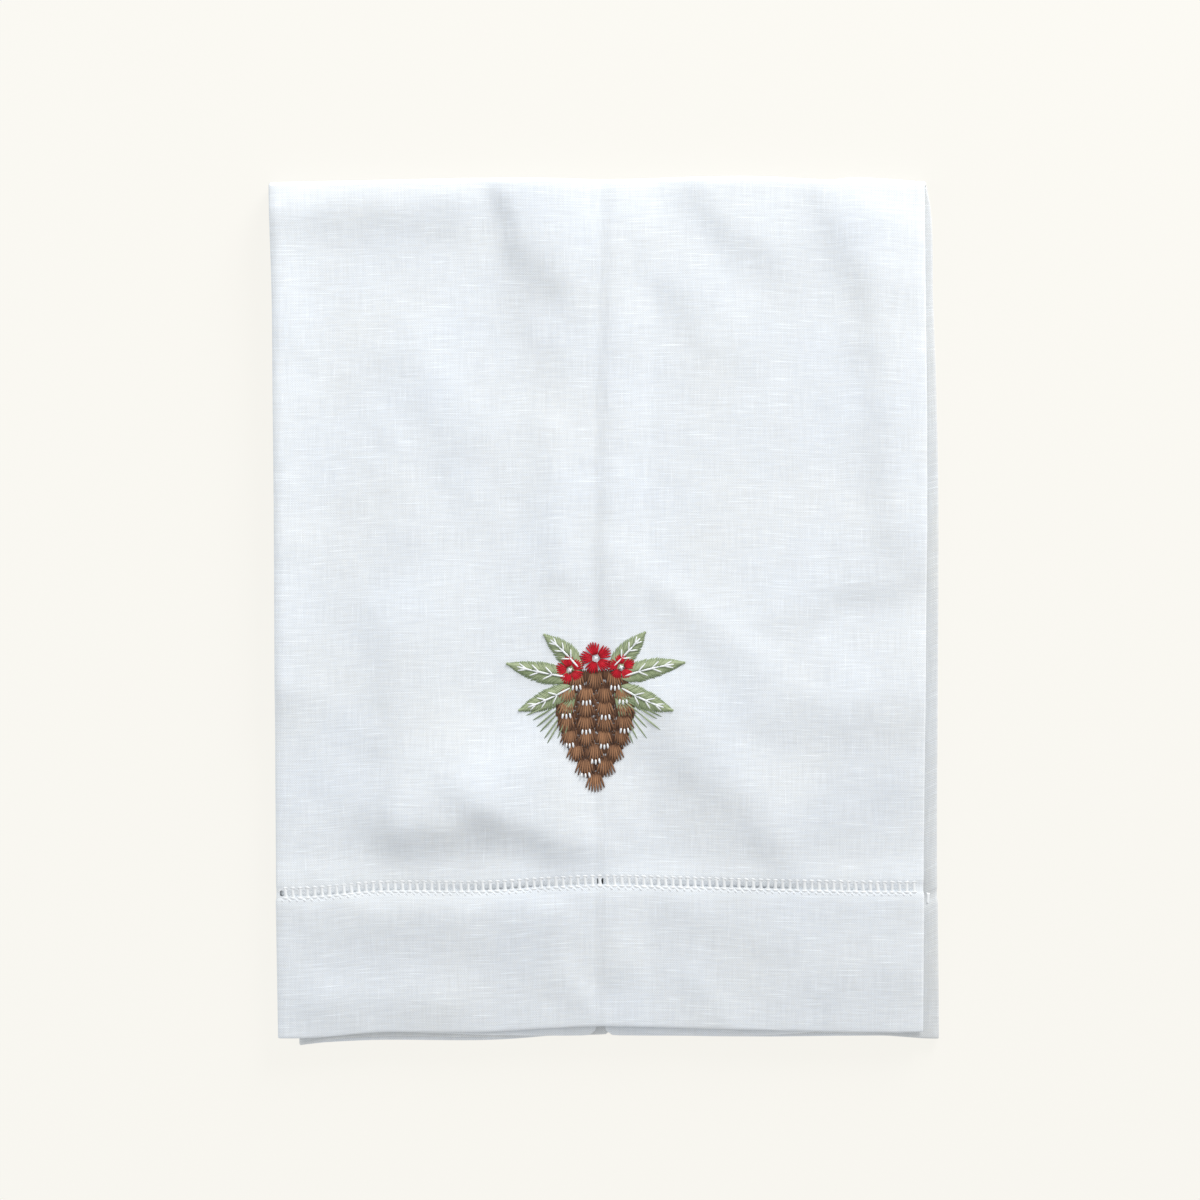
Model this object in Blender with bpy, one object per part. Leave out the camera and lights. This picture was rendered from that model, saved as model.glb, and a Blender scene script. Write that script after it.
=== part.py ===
"""A white linen hand towel, folded to a quarter and laid flat.

The towel is one piece of cloth. Its two long sides are turned under until they nearly meet behind the
middle, and the strip this makes is then doubled over, so that both hemmed ends lie at the near edge.
From the top down its layers are the front panel, the front flaps, the back flaps and the back panel.

X runs to the right across the towel, Y towards the doubled-over edge and Z up. The origin is on the
surface that the towel rests on, under the middle of its outline. Lengths are in metres.
"""

import math

import bpy
from mathutils import Vector

MM = 0.001
COLOUR = (0.80, 0.845, 0.885, 1.0)
ROUGHNESS = 0.85

# Cloth: the open part, the hems turned up at its ends and sides, and the drawn-thread row between.
CLOTH_THICKNESS = 1.0 * MM
HEM_THICKNESS = 1.3 * MM
SIDE_HEM_THICKNESS = 1.12 * MM
HEM_LIP_THICKNESS = 1.0 * MM
STITCH_BAND_THICKNESS = 0.85 * MM
LAYER_GAP = 0.38 * MM
PITCH = CLOTH_THICKNESS + LAYER_GAP

# Hem depth, the drawn-thread row at its head and the side hems.
HEM_DEPTH = 42.7 * MM
STITCH_BAND_HEIGHT = 2.4 * MM
BAND_SHOULDER = 0.6 * MM
HEM_LIP = 1.2 * MM
SIDE_HEM_WIDTH = 13.0 * MM
SIDE_HEM_SHOULDER = 1.0 * MM

# The folded towel's ends, before their unevenness. The layers spread above the hem by this ramp.
TOP_EDGE_Y = 127.8 * MM
HEM_EDGE_Y = -123.6 * MM
RAMP_TOP = 12.0 * MM
RAMP_FOOT = 4.0 * MM

# Where the side folds and the slit between the flaps run, by the distance down from the top edge.
SIDE_COLUMNS = ("down", "front_left", "front_right", "front_slit", "back_left", "back_right",
                "back_slit", "slit_width")
SIDE_TABLE_MM = (
    (0.0, -98.6, 94.2, 0.6, -98.6, 94.4, 0.6, 3.6),
    (11.0, -98.3, 94.2, 0.7, -98.2, 96.4, 0.8, 3.6),
    (36.0, -97.5, 94.4, 0.2, -97.2, 96.9, 1.2, 3.4),
    (60.0, -97.3, 94.7, -0.6, -96.4, 97.8, 1.6, 3.2),
    (100.0, -96.9, 94.8, -1.4, -95.0, 98.5, 2.0, 3.0),
    (198.0, -96.4, 93.9, -1.15, -91.6, 98.1, 3.0, 2.4),
    (251.0, -95.7, 93.6, -1.0, -89.6, 98.5, 3.8, 2.4),
)

# How far each layer's hem edge lies below HEM_EDGE_Y, by its place across the towel.
HEM_COLUMNS = ("across", "front_panel", "front_flap", "back_flap", "back_panel")
HEM_TABLE_MM = (
    (-98.0, 1.8, 1.8, 4.1, 4.1),
    (-89.0, 1.8, 1.7, 4.1, 4.1),
    (-82.0, 1.4, 0.9, 2.6, 3.4),
    (-66.0, 0.0, 0.0, 1.6, 2.7),
    (-34.0, -0.1, 1.0, 1.7, 2.7),
    (-14.0, -1.3, 1.2, 1.3, 1.2),
    (0.0, -1.8, 1.1, 1.0, -0.9),
    (18.0, -1.4, 1.2, 1.2, 1.2),
    (47.0, -0.6, 1.1, 1.0, 1.7),
    (70.0, -0.1, -0.5, 0.5, 1.5),
    (86.0, 0.1, 0.0, 1.5, 1.5),
    (94.0, 0.0, 0.0, 2.1, 2.1),
    (99.0, 0.0, 0.0, 2.2, 2.2),
)

# How far the doubled-over edge sags below TOP_EDGE_Y, by its place across the towel.
TOP_COLUMNS = ("across", "sag")
TOP_TABLE_MM = (
    (-98.0, 1.8),
    (-60.0, 1.0),
    (-36.0, 0.5),
    (-12.0, 0.7),
    (0.0, 1.0),
    (28.0, 0.15),
    (46.0, 0.0),
    (67.0, 1.0),
    (73.0, 0.3),
    (94.0, 1.5),
)

# Soft ridges (up) and troughs (down) of the front panel, each along a line on it. They fall away over
# one half width to the right of that line and over another to its left.
CREASE_COLUMNS = ("from_x", "from_y", "to_x", "to_y", "right_width", "left_width", "height")
CREASE_TABLE_MM = (
    (-88.0, 119.0, -44.0, 120.0, 11.0, 8.0, 0.9),
    (-27.5, 122.0, -24.5, 110.0, 6.0, 12.0, 1.2),
    (-23.5, 104.0, -16.5, 82.0, 7.0, 16.0, 0.9),
    (31.0, 123.0, 46.0, 107.0, 7.0, 12.0, 1.0),
    (66.0, 118.0, 79.0, 95.0, 8.0, 9.0, 1.1),
    (74.0, 117.0, 90.0, 112.0, 8.0, 8.0, 0.6),
    (12.0, 112.0, 32.0, 80.0, 7.0, 15.0, 0.75),
    (-57.0, 75.0, -40.0, 52.0, 9.0, 10.0, 0.6),
    (-62.0, 52.0, -58.0, 24.0, 8.0, 7.0, 0.45),
    (-15.5, 52.0, -13.5, 12.0, 6.0, 6.0, 0.65),
    (-90.0, 108.0, -89.0, -30.0, 8.0, 12.0, 0.8),
    (82.0, 86.0, 86.0, 30.0, 7.0, 12.0, 1.3),
    (93.0, 5.5, 76.0, 0.5, 6.0, 16.0, -0.5),
    (68.0, -2.5, 50.0, -9.0, 6.0, 16.0, -0.5),
    (50.0, -24.0, 92.0, -23.0, 13.0, 26.0, 1.5),
    (6.0, 14.0, 46.0, -16.0, 8.0, 6.5, 0.6),
    (18.0, -30.0, 49.0, -63.0, 13.0, 12.0, 1.8),
    (60.0, -50.0, 92.0, -46.0, 14.0, 20.0, 0.9),
    (-60.0, -8.0, -56.0, -58.0, 9.0, 20.0, 1.4),
    (-56.0, -63.0, -42.0, -60.0, 7.0, 18.0, 1.8),
    (-31.0, -58.0, -14.0, -66.0, 7.0, 18.0, 2.0),
    (-70.0, -88.0, -16.0, -89.0, 11.0, 6.0, 0.8),
    (20.0, -86.0, 52.0, -96.0, 6.0, 8.0, 0.4),
    (66.0, -106.0, 92.0, -104.0, 9.0, 9.0, 0.45),
    (-84.0, -114.0, -42.0, -114.0, 6.5, 6.5, 0.6),
)
PANEL_LOFT = 0.45 * MM
LOFT_EDGE = 9.0 * MM
SLIT_TROUGH_DEPTH = 0.3 * MM
SLIT_TROUGH_HALF_WIDTH = 3.0 * MM

# Rounded inner corners of the flaps, and the flaps' columns by their distance from the slit.
FLAP_CORNER_RADIUS = 3.0 * MM
FLAP_COLUMNS = (
    0.0,
    FLAP_CORNER_RADIUS / 3,
    FLAP_CORNER_RADIUS,
    SIDE_HEM_WIDTH,
    SIDE_HEM_WIDTH + SIDE_HEM_SHOULDER,
    38.0 * MM,
    66.0 * MM,
)

# How finely the cloth is divided.
HALF_PANEL_COLUMNS = 12
SIDE_FOLD_STEPS = 6
TOP_FOLD_STEPS = 6
FRONT_ROWS = 24
BACK_ROWS = 8


def smooth_step(share):
    share = min(1.0, max(0.0, share))
    return share * share * (3 - 2 * share)


def lookup(table, columns, name, at):
    """Reads a column of a table in millimetres, on a smooth curve through its rows, in metres."""
    place, column = at / MM, columns.index(name)
    last = len(table) - 1
    if place <= table[0][0] or place >= table[last][0]:
        return table[0 if place <= table[0][0] else last][column] * MM
    low = max(index for index in range(last) if table[index][0] <= place)
    span = table[low + 1][0] - table[low][0]

    def slope(index):
        before, after = table[max(0, index - 1)], table[min(last, index + 1)]
        return (after[column] - before[column]) / (after[0] - before[0]) * span

    share = (place - table[low][0]) / span
    blend = smooth_step(share)
    value = table[low][column] * (1 - blend) + table[low + 1][column] * blend
    value += slope(low) * share * (1 - share) ** 2
    value -= slope(low + 1) * share * share * (1 - share)
    return value * MM


def side(name, y):
    return lookup(SIDE_TABLE_MM, SIDE_COLUMNS, name, TOP_EDGE_Y - y)


def hem_edge(layer, x):
    return HEM_EDGE_Y - lookup(HEM_TABLE_MM, HEM_COLUMNS, layer, x)


def bend_line(x):
    """Where the layers start to turn over at the top, so that the outermost reaches the top edge."""
    reach = 1.5 * PITCH + CLOTH_THICKNESS / 2
    return TOP_EDGE_Y - lookup(TOP_TABLE_MM, TOP_COLUMNS, "sag", x) - reach


def layer_pitch(y):
    """Height from one layer to the next, which the thicker hems spread."""
    above_hem = y - HEM_EDGE_Y - HEM_DEPTH
    spread = smooth_step((RAMP_TOP - above_hem) / (RAMP_TOP - RAMP_FOOT))
    return PITCH + spread * (HEM_THICKNESS - CLOTH_THICKNESS)


def crease_height(x, y):
    """Sum of the ridges and troughs of the front panel at a place on it."""
    total = 0.0
    for row in CREASE_TABLE_MM:
        crease = {name: value * MM for name, value in zip(CREASE_COLUMNS, row)}
        start = Vector((crease["from_x"], crease["from_y"]))
        line = Vector((crease["to_x"], crease["to_y"])) - start
        place = Vector((x, y)) - start
        nearest = line * min(1.0, max(0.0, place.dot(line) / line.length_squared))
        distance = (place - nearest).length
        to_left = line.normalized().cross(place)
        left_share = 0.5 + 0.5 * to_left / max(distance, 0.01 * MM)
        half_width = crease["right_width"] + (crease["left_width"] - crease["right_width"]) * left_share
        total += crease["height"] * math.exp(-((distance / half_width) ** 2))
    return total


def panel_lift(x, y):
    """How far the front panel stands above the flaps that it covers, none of it at its folds."""
    inside = min(x - side("front_left", y), side("front_right", y) - x)
    from_folds = smooth_step(inside / LOFT_EDGE) * smooth_step((bend_line(x) - y) / LOFT_EDGE)
    off_slit = (x - side("front_slit", y)) / SLIT_TROUGH_HALF_WIDTH
    trough = SLIT_TROUGH_DEPTH * math.exp(-off_slit * off_slit)
    return max(0.0, PANEL_LOFT + crease_height(x, y) - trough) * from_folds


def section_columns():
    """The columns of the strip's section as (part, place), from one flap's edge round to the other's.

    A flap's place is its distance from the slit, or None where its side fold starts. A fold's place
    is its angle, and a panel's is its share of the way from the right fold to the left one."""
    fold = [math.pi * step / SIDE_FOLD_STEPS for step in range(1, SIDE_FOLD_STEPS)]
    full_width = side("front_right", TOP_EDGE_Y) - side("front_left", TOP_EDGE_Y)
    half_share = 0.5 - SLIT_TROUGH_HALF_WIDTH / full_width
    half = [half_share * step / HALF_PANEL_COLUMNS for step in range(HALF_PANEL_COLUMNS + 1)]
    panel = half + [0.5] + [1 - share for share in reversed(half)]
    flap = list(FLAP_COLUMNS) + [None]
    return (
        [("right_flap", place) for place in flap]
        + [("right_fold", angle) for angle in fold]
        + [("panel", share) for share in panel]
        + [("left_fold", angle) for angle in fold]
        + [("left_flap", place) for place in reversed(flap)]
    )


def section_point(column, strip, y, pitch):
    """A column's x at y in the front or back strip, and its height: 1 at the panel, -1 at the flaps."""
    part, place = column
    turn = pitch / 2 + CLOTH_THICKNESS / 2
    left = side(strip + "_left", y) + turn
    right = side(strip + "_right", y) - turn
    slit, half_slit = side(strip + "_slit", y), side("slit_width", y) / 2
    if part == "panel":
        return right + place * (left - right), 1.0
    if part == "right_fold":
        return right + pitch / 2 * math.sin(place), -math.cos(place)
    if part == "left_fold":
        return left - pitch / 2 * math.sin(place), math.cos(place)
    if place is None:
        return (right if part == "right_flap" else left), -1.0
    outward = 1 if part == "right_flap" else -1
    return slit + outward * (half_slit + place), -1.0


def corner_rise(column):
    """How far a flap's hem edge rises at its rounded inner corner."""
    part, place = column
    if "flap" not in part or place is None or place >= FLAP_CORNER_RADIUS:
        return 0.0
    return FLAP_CORNER_RADIUS - math.sqrt(FLAP_CORNER_RADIUS**2 - (FLAP_CORNER_RADIUS - place) ** 2)


def hem_rows():
    """The hem's rows as (distance up from the hem edge, thickness), up to the open cloth."""
    foot = HEM_DEPTH - STITCH_BAND_HEIGHT / 2
    head = HEM_DEPTH + STITCH_BAND_HEIGHT / 2
    return [
        (0.0, HEM_LIP_THICKNESS),
        (HEM_LIP, HEM_THICKNESS),
        (foot / 3, HEM_THICKNESS),
        (foot * 2 / 3, HEM_THICKNESS),
        (foot - BAND_SHOULDER, HEM_THICKNESS),
        (foot, STITCH_BAND_THICKNESS),
        (head, STITCH_BAND_THICKNESS),
        (head + BAND_SHOULDER, CLOTH_THICKNESS),
    ]


def path_rows():
    """Rows along the strip as (strip, kind, place, thickness), from the front hem to the back one."""
    hem, plain = hem_rows(), CLOTH_THICKNESS
    front = [("front", "hem", place, thickness) for place, thickness in hem]
    front += [("front", "open", step / FRONT_ROWS, plain) for step in range(1, FRONT_ROWS + 1)]
    top = [("top", "bend", math.pi * step / TOP_FOLD_STEPS, plain) for step in range(1, TOP_FOLD_STEPS)]
    back = [("back", "open", step / BACK_ROWS, plain) for step in range(BACK_ROWS, 0, -1)]
    back += [("back", "hem", place, thickness) for place, thickness in reversed(hem)]
    return front + top + back


def thickness_at(row, column):
    """Thickness of the cloth, with the side hem's along the flaps' inner edges."""
    part, place = column
    in_side_hem = "flap" in part and place is not None and place <= SIDE_HEM_WIDTH
    if in_side_hem and row[3] == CLOTH_THICKNESS:
        return SIDE_HEM_THICKNESS
    return row[3]


def row_y(row, column, x):
    """Y of a row of the front or back strip, in the layer that the column belongs to."""
    strip, kind, place, _ = row
    layer = strip + ("_flap" if "flap" in column[0] else "_panel")
    foot = hem_edge(layer, x) + corner_rise(column)
    if kind == "hem":
        return foot + place
    hem_head = foot + hem_rows()[-1][0]
    return hem_head + place * (bend_line(x) - hem_head)


def flat_point(row, column):
    """A point of the front or back strip, in the middle of the cloth's thickness."""
    strip = row[0]
    y = row_y(row, column, 0.0)
    for _ in range(3):
        pitch = layer_pitch(y)
        x, height = section_point(column, strip, y, pitch)
        y = row_y(row, column, x)
    lowest = (pitch - LAYER_GAP) / 2
    if strip == "back":
        return Vector((x, y, lowest + pitch * (1 - height) / 2))
    lift = panel_lift(x, y) if column[0] == "panel" else 0.0
    return Vector((x, y, lowest + pitch * (2.5 + height / 2) + lift))


def bend_point(angle, column):
    """A point of the doubled-over edge, at an angle round from the front strip to the back one."""
    front = flat_point(("front", "open", 1.0, CLOTH_THICKNESS), column)
    back = flat_point(("back", "open", 1.0, CLOTH_THICKNESS), column)
    centre = (front + back) / 2
    radius = (front.z - back.z) / 2
    x = front.x + (back.x - front.x) * angle / math.pi
    return Vector((x, centre.y + radius * math.sin(angle), centre.z + radius * math.cos(angle)))


def centred(points):
    """The same points with the middle of the towel's outline over the origin."""
    half = CLOTH_THICKNESS / 2
    low_x = min(point.x for point in points) - half
    high_x = max(point.x for point in points) + half
    low_y = min(point.y for point in points)
    high_y = max(point.y for point in points) + half
    middle = Vector(((low_x + high_x) / 2, (low_y + high_y) / 2, 0.0))
    return [point - middle for point in points]


def linen():
    made = bpy.data.materials.new("linen")
    made.use_nodes = True
    shader = made.node_tree.nodes["Principled BSDF"]
    shader.inputs["Base Color"].default_value = COLOUR
    shader.inputs["Roughness"].default_value = ROUGHNESS
    shader.inputs["Metallic"].default_value = 0.0
    made.diffuse_color = COLOUR
    return made


def make_towel():
    """The cloth as a grid laid along the folded strip, which Solidify gives its thickness."""
    columns, rows = section_columns(), path_rows()
    points, thicknesses = [], []
    for row in rows:
        for column in columns:
            in_bend = row[1] == "bend"
            points.append(bend_point(row[2], column) if in_bend else flat_point(row, column))
            thicknesses.append(thickness_at(row, column))
    width = len(columns)
    faces = [
        (first, first + 1, first + 1 + width, first + width)
        for r in range(len(rows) - 1)
        for first in range(r * width, r * width + width - 1)
    ]
    mesh = bpy.data.meshes.new("folded_towel")
    mesh.from_pydata(centred(points), [], faces)
    mesh.materials.append(linen())
    mesh.shade_smooth()
    towel = bpy.data.objects.new("folded_towel", mesh)
    bpy.context.scene.collection.objects.link(towel)

    group = towel.vertex_groups.new(name="thickness")
    for index, thickness in enumerate(thicknesses):
        group.add([index], thickness / HEM_THICKNESS, "REPLACE")
    solid = towel.modifiers.new("thickness", "SOLIDIFY")
    solid.thickness = HEM_THICKNESS
    solid.offset = 0.0
    solid.use_even_offset = True
    solid.vertex_group = group.name


for old in list(bpy.data.objects):
    bpy.data.objects.remove(old, do_unlink=True)
make_towel()
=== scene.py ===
import math
import random

import bpy
from mathutils import Matrix, Vector, noise


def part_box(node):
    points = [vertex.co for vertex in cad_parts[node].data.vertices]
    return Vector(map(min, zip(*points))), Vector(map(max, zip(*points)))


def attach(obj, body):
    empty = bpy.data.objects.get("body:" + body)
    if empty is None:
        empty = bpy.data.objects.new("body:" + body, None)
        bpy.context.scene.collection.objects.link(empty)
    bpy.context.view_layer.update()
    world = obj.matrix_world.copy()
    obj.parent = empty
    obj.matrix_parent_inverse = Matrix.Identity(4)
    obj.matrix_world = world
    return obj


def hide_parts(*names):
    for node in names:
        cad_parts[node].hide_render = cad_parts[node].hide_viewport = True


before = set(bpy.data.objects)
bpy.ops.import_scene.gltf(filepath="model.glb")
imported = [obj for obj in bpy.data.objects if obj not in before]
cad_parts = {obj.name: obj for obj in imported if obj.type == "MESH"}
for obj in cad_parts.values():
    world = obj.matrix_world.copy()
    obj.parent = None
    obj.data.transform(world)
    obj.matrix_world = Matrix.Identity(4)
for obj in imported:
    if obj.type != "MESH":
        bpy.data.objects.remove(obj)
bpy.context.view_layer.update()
mm = 0.001
nearly = 0.01  # mm, for places that are the same but for rounding
dice = random.Random(7)


def draw(ends):
    return dice.uniform(*ends)


bpy.context.scene.view_settings.view_transform = "Standard"
print("frame loaded:", sorted(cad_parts))

# The folded shape in millimetres, in the solid's own places across and along.
fold = {
    "topEdge": 127.8, "hemEdge": -123.6,
    "stack": 5.14,  # height of the solid's four layers in the open cloth
    "hemStack": 5.8,  # at the drawn-thread row
    "edgeStack": 4.3,  # and at the hem edges, which lie down on each other
    "edgeRun": 4.0,  # below the row, where the stack starts to sink towards them
    "foldReach": 0.6,  # how far the folds bulge, for a full half circle of 1
    "rampTop": 9.0, "rampFoot": 2.2,
    "cornerRadius": 3.0,  # rounded inner corners of the flaps
    "cornerReach": 12.0, "loft": 0.45, "loftEdge": 9.0,
    "slitDip": 0.35, "slitDipWidth": 2.6,
    "plateau": 0.3,  # over the flaps' side hems, on both sides of the slit
    "plateauHalfWidth": 15.0, "plateauShoulder": 3.5,
    "wrinkle": 0.13,  # fine slanting wrinkles, and how wide and long they are
    "wrinkleWidth": 8.0, "wrinkleLength": 26.0,
    "closeReach": 3.2,  # around the drawn-thread row the flap closes up to the panel
    "closeOffset": 0.9, "closeFull": 1.3,
    "closeEdge": {"front": 2.0, "back": 12.0},  # and how near the folds it stops doing so
    "closeGap": -0.2,
    "hemShoulder": -1.6,  # from the row's middle, where the hem is full
    "hemShoulderLength": 0.7,
    "straying": 2.4,  # how far the creases wander, and over what length
    "strayingLength": 13.0,
    "flapRowDrop": 2.5,  # the flaps' rows lie lower than the panel's, so no holes line up
    "dropFoot": 12.0, "dropHead": 2.0,
    "dropEnd": 98.0,  # but meet at the right fold of the back pair, where they show
    "dropFade": 5.0, "hemClear": 0.12,
}
sides = {  # by the distance down from the doubled-over edge
    "down": (0, 11, 36, 60, 100, 198, 251),
    "frontLeft": (-98.6, -98.3, -97.5, -97.3, -96.9, -96.4, -95.7),
    "frontRight": (94.2, 94.2, 94.4, 94.7, 94.8, 93.9, 93.6),
    "frontSlit": (0.6, 0.7, 0.2, -0.6, -1.4, -1.15, -1),
    "backLeft": (-98.6, -98.2, -97.2, -96.4, -95, -91.6, -89.6),
    "backRight": (94.4, 96.4, 96.9, 97.8, 98.5, 98.1, 98.5),
    "backSlit": (0.6, 0.8, 1.2, 1.6, 2, 3, 3.8),
    "slitWidth": (3.6, 3.6, 3.4, 3.2, 3, 1.8, 2.4),
}
hems = {  # how far each layer's edge hangs below hemEdge, by its place across
    "across": (-98, -89, -82, -66, -34, -14, 0, 18, 47, 70, 86, 94, 99),
    "frontPanel": (1.8, 1.8, 1.4, 0, -0.1, -1.3, -1.8, -1.4, -0.6, -0.1, 0.1, 0, 0),
    "frontFlap": (1.8, 1.7, 0.9, 0, 1, 1.2, 1.1, 1.2, 1.1, -0.5, 0, 0, 0),
    "backFlap": (4.1, 4.1, 2.6, 1.6, 1.7, 1.3, 1, 1.2, 1, 0.5, 1.5, 2.1, 2.2),
    "backPanel": (4.1, 4.1, 3.4, 2.7, 2.7, 1.2, -0.9, 1.2, 1.7, 1.5, 1.5, 2.1, 2.2),
}
tops = {
    "across": (-98, -60, -36, -12, 0, 28, 46, 67, 73, 94),
    "sag": (1.8, 1, 0.5, 0.7, 1, 0.15, 0, 1, 0.3, 1.5),
}
# Soft ridges and troughs of the front panel: fromX, fromY, toX, toY, half widths to the right and to
# the left of that line, and height.
creases = (
    (-88, 119.5, -44, 121, 9, 8, 1.6),
    (-26.2, 119.5, -24.2, 112, 4, 24, 2),
    (-15, 118, -12, 104, 11, 22, 1.1),
    (-22, 97, -16.5, 82, 6.5, 24, 0.75),
    (31, 124, 46, 107, 7, 18, 1.3),
    (66, 120, 75.5, 103, 7.2, 15, 1.2),
    (74, 117, 90, 112, 8, 8, 0.7),
    (12, 112, 32, 80, 6, 15, 0.75),
    (-57, 75, -40, 52, 9, 10, 0.75),
    (-62, 52, -58, 24, 8, 7, 0.45),
    (-15.5, 52, -13.5, 12, 5.5, 5.5, 0.7),
    (-99.5, 114, -98.5, -20, 8, 11, 2.2),
    (1.6, 121, 0.5, -8, 2.5, 9, 0.55),
    (80.5, 87, 86, 30, 6.5, 27, 1.6),
    (94, 5.5, 76, 0.5, 5, 22, -0.7),
    (68, -2.5, 52, -9, 5, 18, -0.6),
    (50, -24, 92, -23, 13, 40, 1.8),
    (6, 14, 46, -16, 8, 6.5, 0.6),
    (18, -30, 49, -63, 13, 12, 2),
    (60, -50, 92, -46, 14, 28, 1),
    (-60, -8, -56, -58, 9, 24, 1.6),
    (-56, -63, -42, -60, 6.5, 21, 2.2),
    (-31, -58, -14, -66, 6.5, 21, 2.4),
    (-70, -88, -16, -89, 11, 5, 0.9),
    (-1, -86, 4, -104, 6, 6, 0.5),
    (20, -86, 52, -96, 6, 8, 0.4),
    (66, -106, 92, -104, 9, 9, 0.45),
    (-84, -114, -42, -114, 6.5, 6.5, 0.6),
    (-12, -106, -1, -121, 4, 4, 0.4),
    (26, -108, 40, -123, 4, 4, 0.4),
)
cloth = {
    "thickness": 0.5, "hemThickness": 0.8, "sideHemThickness": 0.7,
    "bandThickness": 0.3, "sideHem": 13.0,
    "hemDepth": 42.7,  # up to the middle of the drawn-thread row
    "turnUnder": 5.0,
    "pitch": 2.155,  # from one drawn-thread hole to the next
    "flapHoles": 43, "panelHoles": 88, "bandHeight": 2.6,
    "bar": 0.9, "holeCorner": 0.3,
    "fullCell": 0.9,  # only cells wider than this share of the pitch get a hole
    "sewnShut": (-2.4, 1.4),  # and none around the right fold, in holes from it
    "bendLength": 5.0, "length": 504.0,
    "lip": ((0.0, 0.35), (0.12, 0.7), (0.4, 0.92), (0.9, 1.0)),  # hem edge: place, share of thickness
    "sideLip": ((0.1, 0.45), (0.3, 0.85)),
    "freeEdge": (0.0, 0.15, 0.5),  # short steps in from a side edge
    "rowSteps": (1.0, 0.4, 0.5, 1.2),  # and at the drawn-thread row: two below it, two above
    "halfThick": 0.5,
    "aside": 200.0,  # marks the flaps, and twice this the back pair
    "frontRow": 2.3, "backRow": 4.6, "bendRows": 12,
    "foldSteps": 8, "sharpAngle": 50.0,
}


def smooth(share):
    share = min(1.0, max(0.0, share))
    return share * share * (3 - 2 * share)


def follow(table, name, at):
    # a smooth curve through one column of a table, by its first column
    places, values = next(iter(table.values())), table[name]
    last = len(places) - 1
    if at <= places[0] or at >= places[last]:
        return values[0 if at <= places[0] else last]
    low = max(index for index in range(last) if places[index] <= at)
    span = places[low + 1] - places[low]
    share = (at - places[low]) / span
    before, after = max(0, low - 1), min(last, low + 2)
    slopeLow = (values[low + 1] - values[before]) / (places[low + 1] - places[before]) * span
    slopeHigh = (values[after] - values[low]) / (places[after] - places[low]) * span
    value = values[low] + (values[low + 1] - values[low]) * smooth(share)
    value += slopeLow * share * (1 - share) ** 2
    return value - slopeHigh * share * share * (1 - share)


def sideAt(name, y):
    return follow(sides, name, fold["topEdge"] - y)


def hemNearness(y):
    # 0 in the open cloth, 1 at the hem
    above = y - fold["hemEdge"] - cloth["hemDepth"]
    return smooth((fold["rampTop"] - above) / (fold["rampTop"] - fold["rampFoot"]))


def stackAt(y):
    # thickness that the lowest layer needs, and the height from one layer to the next
    near = hemNearness(y)
    thick = cloth["thickness"] + near * (cloth["hemThickness"] - cloth["thickness"])
    fromEdge = (y - fold["hemEdge"]) / (cloth["hemDepth"] - fold["edgeRun"])
    toEdge = 1 - min(1.0, max(0.0, fromEdge))
    stack = fold["stack"] + near * (fold["hemStack"] - fold["stack"])
    stack -= toEdge * (fold["hemStack"] - fold["edgeStack"])
    return thick, (stack - thick) / 3


def bendStart(x):
    thick, pitch = stackAt(fold["topEdge"])
    return fold["topEdge"] - follow(tops, "sag", x) - 1.5 * pitch * fold["foldReach"] - thick / 2


def creaseHeight(x, y):
    total = 0.0
    here = Vector((x, y, 0.0)) / fold["strayingLength"]
    x += noise.noise(here) * fold["straying"]
    y += noise.noise(here + Vector((7.0, 3.0, 5.0))) * fold["straying"]
    for fromX, fromY, toX, toY, rightWidth, leftWidth, height in creases:
        lineX, lineY = toX - fromX, toY - fromY
        share = ((x - fromX) * lineX + (y - fromY) * lineY) / (lineX * lineX + lineY * lineY)
        share = min(1.0, max(0.0, share))
        away = math.hypot(x - fromX - share * lineX, y - fromY - share * lineY)
        toLeft = (lineX * (y - fromY) - lineY * (x - fromX)) / math.hypot(lineX, lineY)
        leftShare = 0.5 + 0.5 * toLeft / max(away, 0.01)
        halfWidth = rightWidth + (leftWidth - rightWidth) * leftShare
        total += height * math.exp(-((away / halfWidth) ** 2))
    return total


def panelLift(x, y):
    # how far the front panel stands above the flaps that it covers
    fromRight = sideAt("frontRight", y) - x
    offSlit = x - sideAt("frontSlit", y)
    dip = fold["slitDip"] * math.exp(-((offSlit / fold["slitDipWidth"]) ** 2))
    onPlateau = (fold["plateauHalfWidth"] - abs(offSlit)) / fold["plateauShoulder"]
    plateau = fold["plateau"] * smooth(onPlateau)
    across, along = (x + y) / math.sqrt(2), (x - y) / math.sqrt(2)
    wrinkles = noise.noise(Vector((across / fold["wrinkleWidth"], along / fold["wrinkleLength"], 0.0)))
    lift = (fold["loft"] + plateau) * smooth(fromRight / fold["loftEdge"]) + creaseHeight(x, y)
    lift += wrinkles * fold["wrinkle"] - dip
    return max(0.0, lift)


rowFoot = cloth["hemDepth"] - cloth["bandHeight"] / 2
rowHead = cloth["hemDepth"] + cloth["bandHeight"] / 2
flapWidth = cloth["flapHoles"] * cloth["pitch"]
panelWidth = cloth["panelHoles"] * cloth["pitch"]
foldLength = math.pi * stackAt(0.0)[1] / 2
clothWidth = 2 * flapWidth + 2 * foldLength + panelWidth
frontLength = (cloth["length"] - cloth["bendLength"]) / 2


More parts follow.
